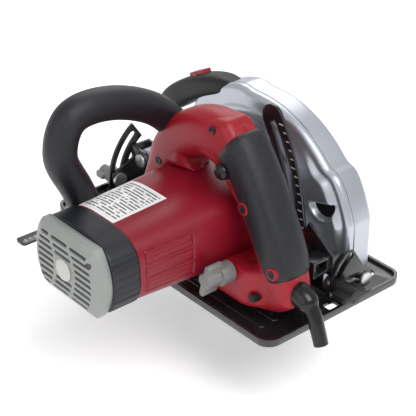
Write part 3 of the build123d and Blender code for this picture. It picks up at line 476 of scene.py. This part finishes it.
# Front handle: a smooth round tube in the YZ plane, swelling a little in the middle
tubeLook = {
    "line": [(114, 58), (129, 92), (141.5, 123), (130, 150), (96, 151.5), (56, 135), (26, 106), (12, 89)],
    "radius": 12.6, "swell": 0.5, "x": 17.0,
}
roundAngles = np.linspace(0, 2 * np.pi, 56, endpoint=False)
tubeRadius = tubeLook["radius"] + tubeLook["swell"] * np.sin(np.pi * np.linspace(0, 1, 160)) ** 2
rings = sweptRings(smoothLine(tubeLook["line"], 160), tubeRadius, tubeRadius, roundAngles, 1.0,
                   tubeLook["x"], "x")
placePiece("frontHandleTube", tubeMesh("frontHandleTube", rings), "saw_body", "blackRubber",
           ["front_handle"])
print("front handle made")

# Motor housing: a superellipse that tapers along Y, with outlined panels on its rear side
motorLook = {"x": -27.0, "z": 58.79, "start": 22.0, "end": 137.0, "ringEnd": 161.0, "power": 0.62}
housingLook = {"near": (48.0, 35.0), "far": (43.5, 29.5), "panelDepth": 0.8, "panelEdge": 0.5,
               "panelMiddles": (13.0, 1.0, -11.0), "panelHalf": (21.0, 4.6), "panelY": 110.0,
               "panelsBehind": -25, "ribHalf": 0.45, "ribShare": 0.55}
housingAngles = np.linspace(0, 2 * np.pi, 420, endpoint=False)


def housingHalves(t):
    # Half width and half height, straight from the near pair at nought to the far pair at one.
    (nearX, nearZ), (farX, farZ) = housingLook["near"], housingLook["far"]
    return nearX + (farX - nearX) * t, nearZ + (farZ - nearZ) * t


def motorOutline(across, flat):
    # A superellipse: half width times the cosine, half height times the sine, each to a signed power.
    cosine, sine = np.cos(housingAngles)[None, :], np.sin(housingAngles)[None, :]
    return across * signedPower(cosine, motorLook["power"]), flat * signedPower(sine, motorLook["power"])


def motorRings(sideX, sideZ, alongY, depth):
    # The outline put about the motor's axis, pressed towards it by the depth.
    shrink = 1 - depth / np.hypot(sideX, sideZ)
    return np.stack([motorLook["x"] + sideX * shrink, alongY, motorLook["z"] + sideZ * shrink], -1)


t = np.linspace(0, 1, 190)[:, None]
sideX, sideZ = motorOutline(*housingHalves(t))
alongY = motorLook["start"] + (motorLook["end"] - motorLook["start"]) * t + 0 * sideX
groove = np.zeros_like(sideX)
for middle in housingLook["panelMiddles"]:
    away = np.maximum(np.abs(alongY - housingLook["panelY"]) - housingLook["panelHalf"][0],
                      np.abs(sideZ - middle) - housingLook["panelHalf"][1])
    groove = np.maximum(groove, np.exp(-((away / housingLook["panelEdge"]) ** 2)))
    rib = np.exp(-(((sideZ - middle) / housingLook["ribHalf"]) ** 2)) * (away < 0)
    groove = np.maximum(groove, rib * housingLook["ribShare"])
groove *= (sideX < housingLook["panelsBehind"]) * housingLook["panelDepth"]
placePiece("motorShell", tubeMesh("motorShell", motorRings(sideX, sideZ, alongY, groove)), "saw_body",
           "redPlastic", ["motor_housing"], 60)
print("motor housing made")

# Ring behind the housing: smooth above, ribbed on its rear side, with slightly eased ends
ringLook = {"size": (44.3, 30.3), "clear": 0.15, "ease": 0.018, "ribPitch": 6.4, "ribHalf": 0.45,
            "ribDepth": 0.55, "ribsBehind": -26, "ribsWithin": 24}
steps = np.linspace(0, 1, 60)[:, None]
edge = 1 - ringLook["ease"] * np.abs(2 * steps - 1) ** 20
sideX, sideZ = motorOutline(ringLook["size"][0] * edge, ringLook["size"][1] * edge)
ringLong = motorLook["ringEnd"] - motorLook["end"] - 2 * ringLook["clear"]
alongY = motorLook["end"] + ringLook["clear"] + ringLong * steps + 0 * sideX
fromRib = np.abs((sideZ / ringLook["ribPitch"] + 0.5) % 1 - 0.5) * ringLook["ribPitch"]
rib = np.exp(-((fromRib / ringLook["ribHalf"]) ** 2)) * ringLook["ribDepth"]
rib = rib * (sideX < ringLook["ribsBehind"]) * (np.abs(sideZ) < ringLook["ribsWithin"])
placePiece("capRingBand", tubeMesh("capRingBand", motorRings(sideX, sideZ, alongY, rib)), "saw_body",
           "ringPlastic", ["cap_ring"], 50)
dressedCopy("end_cap", "paleGrey", 0.45)
hubProfile = [(172.0, 0.01), (172.0, 8.8), (173.9, 8.8), (174.6, 8.1), (174.8, 6.0), (174.5, 1.0),
              (174.5, 0.01)]
placePiece("capHub", lathe("capHub", (motorLook["x"], 0, motorLook["z"]), hubProfile), "saw_body",
           "lightPlastic", sharp=50)
print("ring and cap made")

# Label that lies on the housing's curve, with plain grey dashes in place of print
labelLook = {"x": (-38.0, 5.0), "y": (86.5, 136.0), "lift": 0.35, "sink": 0.3}


def housingTop(x, y, lift):
    # Height of the housing's superellipse above a place on its upper side.
    across, flat = housingHalves((y - motorLook["start"]) / (motorLook["end"] - motorLook["start"]))
    power = 2 / motorLook["power"]
    away = np.abs(x - motorLook["x"]) / across
    return motorLook["z"] + flat * (1 - away**power) ** (1 / power) + lift


labelX, labelY = np.meshgrid(np.linspace(*labelLook["x"], 48), np.linspace(*labelLook["y"], 48))
outer = np.stack([labelX, labelY, housingTop(labelX, labelY, labelLook["lift"])], -1)
inner = np.stack([labelX, labelY, housingTop(labelX, labelY, -labelLook["sink"])], -1)
placePiece("label", stitchedShell("label", outer, inner), "saw_body", "printedFilm",
           ["rating_plate"], 60)

# Guards: two satin castings worked out in polar form about the spindle, angles in degrees
guardLook = {
    "centre": (-14.0, 29.0), "radius": 103.0, "drop": 12.0, "rearLimit": 105.3, "wall": 2.5,
    "frontRaise": (42, 82, 4.0, 1.6), "rearRaise": (141, 215, 6.4, 1.3),  # from, to, height, softness
    "seam": -31.0, "gap": 0.4, "tuck": 0.5, "turns": 260, "plateSteps": 90, "bendSteps": 12,
}
# raised and sunk areas: height, then from, to and softness, first round the spindle and then outwards
nearLook = {
    "inside": 20.0, "face": -24.0, "corner": 5.0,
    "swelling": (6.0, (128, 172, 4), (64, 130, 3)), "ridge": (1.6, (60, 122, 3), (84, 90, 0.8)),
    "panel": (-0.9, (75, 125, 3), (48, 72, 1.2)),
    "mouth": (-94.0, 70.0), "mouthRadius": 12, "mouthEdge": 0.5, "mouthDepth": 6.6,
    "lipTilt": 0.25, "lipHeight": 1, "lipEdge": 0.4,
}
farLook = {
    "inside": 38.0, "face": -52.0, "corner": 6.0,
    "panel": (-0.8, (14, 166, 2), (52, 86, 1.0)), "ringHeight": 1.0, "ringFrom": 30, "ringTo": 44,
    "ringEdge": 0.8,
}


def guardRim(degrees):
    # Rim radius: the plain radius with two raised stretches, cut off square at the very back.
    rim = guardLook["radius"]
    for low, high, raised, soft in (guardLook["frontRaise"], guardLook["rearRaise"]):
        rim = rim + raised * smoothBox(degrees, low, high, soft)
    squareCut = guardLook["rearLimit"] / np.maximum(np.abs(np.cos(np.radians(degrees))), 0.3)
    return np.minimum(rim, squareCut)


def guardSkin(name, node, look, facing, relief):
    # Rows run over the top from front to back. Columns run out along the plate, round the bend at its
    # edge, and straight to the seam, where the last one tucks in. Facing is the plate's side along Y.
    inside, face, corner, wall = look["inside"], look["face"], look["corner"], guardLook["wall"]
    plateSteps, bendSteps = guardLook["plateSteps"], guardLook["bendSteps"]
    u = np.linspace(0, 1, guardLook["turns"])[:, None]
    reach = np.concatenate([np.linspace(0, 1, plateSteps), np.ones(bendSteps + 3)])[None, :]
    lowest = -np.arcsin(guardLook["drop"] / (inside + reach * (guardLook["radius"] - inside)))
    theta = lowest + (np.pi - 2 * lowest) * u
    degrees = np.degrees(theta)
    rim = guardRim(degrees)
    quarter = np.linspace(0, np.pi / 2, bendSteps)
    bend = np.concatenate([np.zeros(plateSteps), quarter, [np.pi / 2] * 3])[None, :]
    straight = np.concatenate([np.zeros(plateSteps + bendSteps), [0.5, 0.97, 1.0]])[None, :]
    tuck = np.concatenate([np.zeros(plateSteps + bendSteps + 2), [guardLook["tuck"]]])[None, :]
    radius = inside + reach * (rim - corner - inside) + corner * np.sin(bend) - tuck
    seamY = guardLook["seam"] + facing * guardLook["gap"]
    y = face - facing * corner * (1 - np.cos(bend)) + (seamY - (face - facing * corner)) * straight
    x = guardLook["centre"][0] + radius * np.cos(theta)
    z = guardLook["centre"][1] + radius * np.sin(theta)
    fade = np.clip((rim - corner - radius) / 6, 0, 1)  # the relief dies out towards the bend
    fade = fade**2 * (3 - 2 * fade)
    y = y + facing * relief(x, z, radius, degrees) * fade * (bend == 0)
    outer = np.stack([x, y, z], -1)
    innerRadius = radius - wall * np.sin(bend)
    inner = np.stack([guardLook["centre"][0] + innerRadius * np.cos(theta),
                      y - facing * wall * np.cos(bend),
                      guardLook["centre"][1] + innerRadius * np.sin(theta)], -1)
    placePiece(name, stitchedShell(name, outer, inner), "saw_body", "satinCasting",
               [node], 40)


def area(look, radius, degrees):
    # A height inside one stretch of angle and one of radius, with soft edges.
    height, around, outwardly = look
    return height * smoothBox(degrees, *around) * smoothBox(radius, *outwardly)


def nearRelief(x, z, radius, degrees):
    # A broad swelling at the back with a half-moon hollow in it, a raised ridge and a shallow panel.
    raised = sum(area(nearLook[part], radius, degrees) for part in ("swelling", "ridge", "panel"))
    across, up = x - nearLook["mouth"][0], z - nearLook["mouth"][1]
    inMouth = 1 / (1 + np.exp((np.hypot(across, up) - nearLook["mouthRadius"]) / nearLook["mouthEdge"]))
    overLip = up + nearLook["lipTilt"] * across - nearLook["lipHeight"]
    belowLip = 1 / (1 + np.exp(overLip / nearLook["lipEdge"]))
    return raised - nearLook["mouthDepth"] * inMouth * belowLip


def farRelief(x, z, radius, degrees):
    # A wide shallow panel and a raised ring about the blade opening.
    ring = smoothBox(radius, farLook["ringFrom"], farLook["ringTo"], farLook["ringEdge"])
    return area(farLook["panel"], radius, degrees) + farLook["ringHeight"] * ring


# Dark gasket in the seam between the two castings, a strip just inside their rims
gasketLook = {"insets": (0.9, 2.2), "y": (-30.1, -31.0, -31.9), "from": -6.3, "to": 186.3}
turns = np.linspace(gasketLook["from"], gasketLook["to"], 260)
gasket = []
for inset in gasketLook["insets"]:
    rim = guardRim(turns) - inset
    x = guardLook["centre"][0] + rim * np.cos(np.radians(turns))
    z = guardLook["centre"][1] + rim * np.sin(np.radians(turns))
    gasket.append(np.stack([np.stack([x, np.full_like(x, y), z], -1) for y in gasketLook["y"]], 1))
placePiece("guardGasket", stitchedShell("guardGasket", *gasket), "saw_body", "darkPlastic")
guardSkin("guardNear", "upper_guard_inner", nearLook, 1, nearRelief)
guardSkin("guardFar", "upper_guard_outer", farLook, -1, farRelief)
# A dark disc at the bottom of the dust mouth's hollow: painted shade standing in for the opening into the
# guard
mouthShadeDisc = [(-25.8, 0.01), (-25.8, 11.4), (-23.8, 11.4), (-23.8, 0.01)]
placePiece("dustMouthShade", lathe("dustMouthShade", (nearLook["mouth"][0], 0, nearLook["mouth"][1]), mouthShadeDisc),
           "saw_body", "darkPlastic")
gearCaseLook = {"voxel": 1.3, "passes": 4}
castPiece("gearCaseCast", ["gear_case"], "satinCasting", gearCaseLook)

# Work light over the guard's front: a squarish swept body with a small lens at its end
lampLook = {
    # body: X, Z, half height, half width
    "body": [(20, 125, 5, 8), (34, 122.5, 8, 10.8), (52, 116.5, 9.6, 12.2), (72, 106.5, 10.6, 12.4),
             (92, 93, 11, 12.0), (104, 83.5, 9.2, 10.5), (109, 79, 5, 7)],
    "squareness": 0.6, "y": -34.0, "lens": (108.6, -34.0, 79.0),
}
lampPath = smoothLine(lampLook["body"], 90)
rings = sweptRings(lampPath[:, :2], lampPath[:, 2], lampPath[:, 3], armAngles, lampLook["squareness"],
                   lampLook["y"])
placePiece("lampBody", tubeMesh("lampBody", rings), "saw_body", "darkPlastic",
           ["light_unit"], 60)
lensProfile = [(0, 0.01), (0, 6.4), (1.6, 6.4), (2.2, 5.4), (1.2, 4.6), (0.9, 0.01)]
placePiece("lampLens", lathe("lampLens", lampLook["lens"], lensProfile, "x"), "saw_body",
           "brightSteel", sharp=50)
print("castings made")

# Depth arm with white ticks on its outer band, every fifth one longer
armLook = {"pivot": (106.5, 34.0), "face": -3.5, "from": 150, "to": 178, "ticks": 15, "outer": 199.2,
           "long": 5.0, "short": 3.2, "tickHalf": 0.45, "proud": 0.12}
tickAngle = np.radians(np.linspace(armLook["from"], armLook["to"], armLook["ticks"]))
tickLong = np.where(np.arange(armLook["ticks"]) % 5 == 0, armLook["long"], armLook["short"])
tickMiddle = armLook["outer"] - tickLong / 2
middle = np.stack([armLook["pivot"][0] + tickMiddle * np.cos(tickAngle),
                   np.full_like(tickAngle, armLook["face"]),
                   armLook["pivot"][1] + tickMiddle * np.sin(tickAngle)], -1)
half = np.stack([tickLong / 2 * np.abs(np.cos(tickAngle)), np.full_like(tickAngle, armLook["proud"]),
                 np.full_like(tickAngle, armLook["tickHalf"])], -1)
placePiece("armTicks", boxesMesh("armTicks", middle - half, middle + half), "tilting_frame",
           "labelFilm")

# Marks on the fence bar, every second one longer
barLook = {"x": 103.0, "top": 5.0, "from": 66, "to": 128, "pitch": 5.0, "long": 4.0, "short": 2.4,
           "half": 0.35, "sink": 0.2, "proud": 0.08}
markY = np.arange(barLook["from"], barLook["to"], barLook["pitch"])
markLong = np.where(np.arange(len(markY)) % 2 == 0, barLook["long"], barLook["short"])
flatTop = np.full_like(markY, barLook["top"])
lows = np.stack([barLook["x"] - markLong, markY - barLook["half"], flatTop - barLook["sink"]], -1)
highs = np.stack([np.full_like(markY, barLook["x"]), markY + barLook["half"],
                  flatTop + barLook["proud"]], -1)
placePiece("fenceMarks", boxesMesh("fenceMarks", lows, highs), "fence", "labelFilm")

# Sleeve where the supply cord enters the handle: a stout collar, then a bend that narrows
cordLook = {"line": [(-124, 33), (-134, 32), (-142, 27.5), (-148, 20), (-152.3, 10), (-156, 0.2)],
            "radius": 5.6, "taper": 1.0, "collar": 3.0, "collarEnd": 0.42, "collarFall": 45}
along = np.linspace(0, 1, 110)
collar = 1 / (1 + np.exp((along - cordLook["collarEnd"]) * cordLook["collarFall"]))
cordRadius = cordLook["radius"] + cordLook["taper"] * (1 - along) + cordLook["collar"] * collar
rings = sweptRings(smoothLine(cordLook["line"], 110), cordRadius, cordRadius, roundAngles, 1.0, handleMiddle)
placePiece("cordSleeve", tubeMesh("cordSleeve", rings), "saw_body", "glossBlack", ["cord_guard"])

# Pressed and turned parts keep their own shape, with edges softened by these widths
softened = {
    "sole_plate": 0.7, "fence_guides": 0.3, "fence_screw": 0.4, "fence_bar": 0.3, "fence_shoe": 0.5,
    "front_quadrant": 0.4, "rear_quadrant": 0.4, "bevel_rivets": 0.3, "front_bracket": 0.4,
    "depth_pin": 0.3, "depth_arm": 0.4, "arm_foot": 0.5, "front_bevel_knob": 0.9, "rear_bevel_knob": 0.9,
    "lower_guard": 0.3, "outer_flange": 0.3, "blade_bolt": 0.4, "light_switch": 0.5, "trigger": 0.8,
    "spindle_lock": 0.4, "depth_knob": 0.8,
}
ownFinish = {"depth_knob": "knobGrey", "front_bevel_knob": "knobGrey", "light_switch": "switchRed"}
for node, width in softened.items():
    dressedCopy(node, ownFinish.get(node, finishForSlot[slotOf[node]]), width)
print("pressed and turned parts finished:", len(softened))

# Paper floor, three soft lights, an even white sky and the camera, in metres and degrees
stageLook = {
    "floorHalf": 6, "floorDrop": 0.0005, "floorGlow": 0.3, "sky": 0.66,
    # lights: place, size, power
    "lights": {"keyLight": ((-0.9, 0.1, 1.3), 0.9, 15), "fillLight": ((-0.2, 1.4, 0.7), 1.2, 4),
               "rimLight": ((0.9, -0.9, 1.1), 1.0, 7)},
    "aim": (0, 0, 0.05),
}
paper = makeFinish("paleFloor", dict(colour=(0.93, 0.93, 0.93), rough=(0.75, 0.85), patchScale=3,
                                     dark=0.99, light=1.01, markAmount=0.0, bump=0.02))
paperShader = paper.node_tree.nodes["Principled BSDF"]
paperShader.inputs["Emission Color"].default_value = (1, 1, 1, 1)
paperShader.inputs["Emission Strength"].default_value = stageLook["floorGlow"]  # lifts the shadow
floorZ = cadLow[2] - stageLook["floorDrop"]
floorPoints = np.array([(-1, -1, 0), (1, -1, 0), (1, 1, 0), (-1, 1, 0)]) * stageLook["floorHalf"]
floorPoints = floorPoints + np.array([0, 0, floorZ])
floor = addObject("floor", meshFrom("floor", floorPoints, [(0, 1, 2, 3)]))
floor.data.materials.append(paper)

for name, (place, size, power) in stageLook["lights"].items():
    lamp = bpy.data.lights.new(name, "AREA")
    lamp.size = size
    lamp.energy = power
    holder = addObject(name, lamp)
    holder.location = place
    direction = Vector(stageLook["aim"]) - Vector(place)
    holder.rotation_euler = direction.to_track_quat("-Z", "Y").to_euler()
world = bpy.data.worlds.new("studio")
world.use_nodes = True
sky = world.node_tree.nodes["Background"]
sky.inputs["Color"].default_value = (1, 1, 1, 1)
sky.inputs["Strength"].default_value = stageLook["sky"]
bpy.context.scene.world = world
bpy.context.scene.view_settings.view_transform = "Standard"

shot = {"place": (-0.6929, 0.6018, 0.5645), "turn": 40.3, "dip": 30.06, "lens": 112.15}
camera = bpy.data.cameras.new("camera")
camera.lens = shot["lens"]
camera.sensor_width = 36
cameraHolder = addObject("camera", camera)
cameraHolder.location = shot["place"]
cameraHolder.rotation_euler = (math.radians(90 - shot["dip"]), 0, math.radians(-90 - shot["turn"]))
bpy.context.scene.camera = cameraHolder
print("stage set")
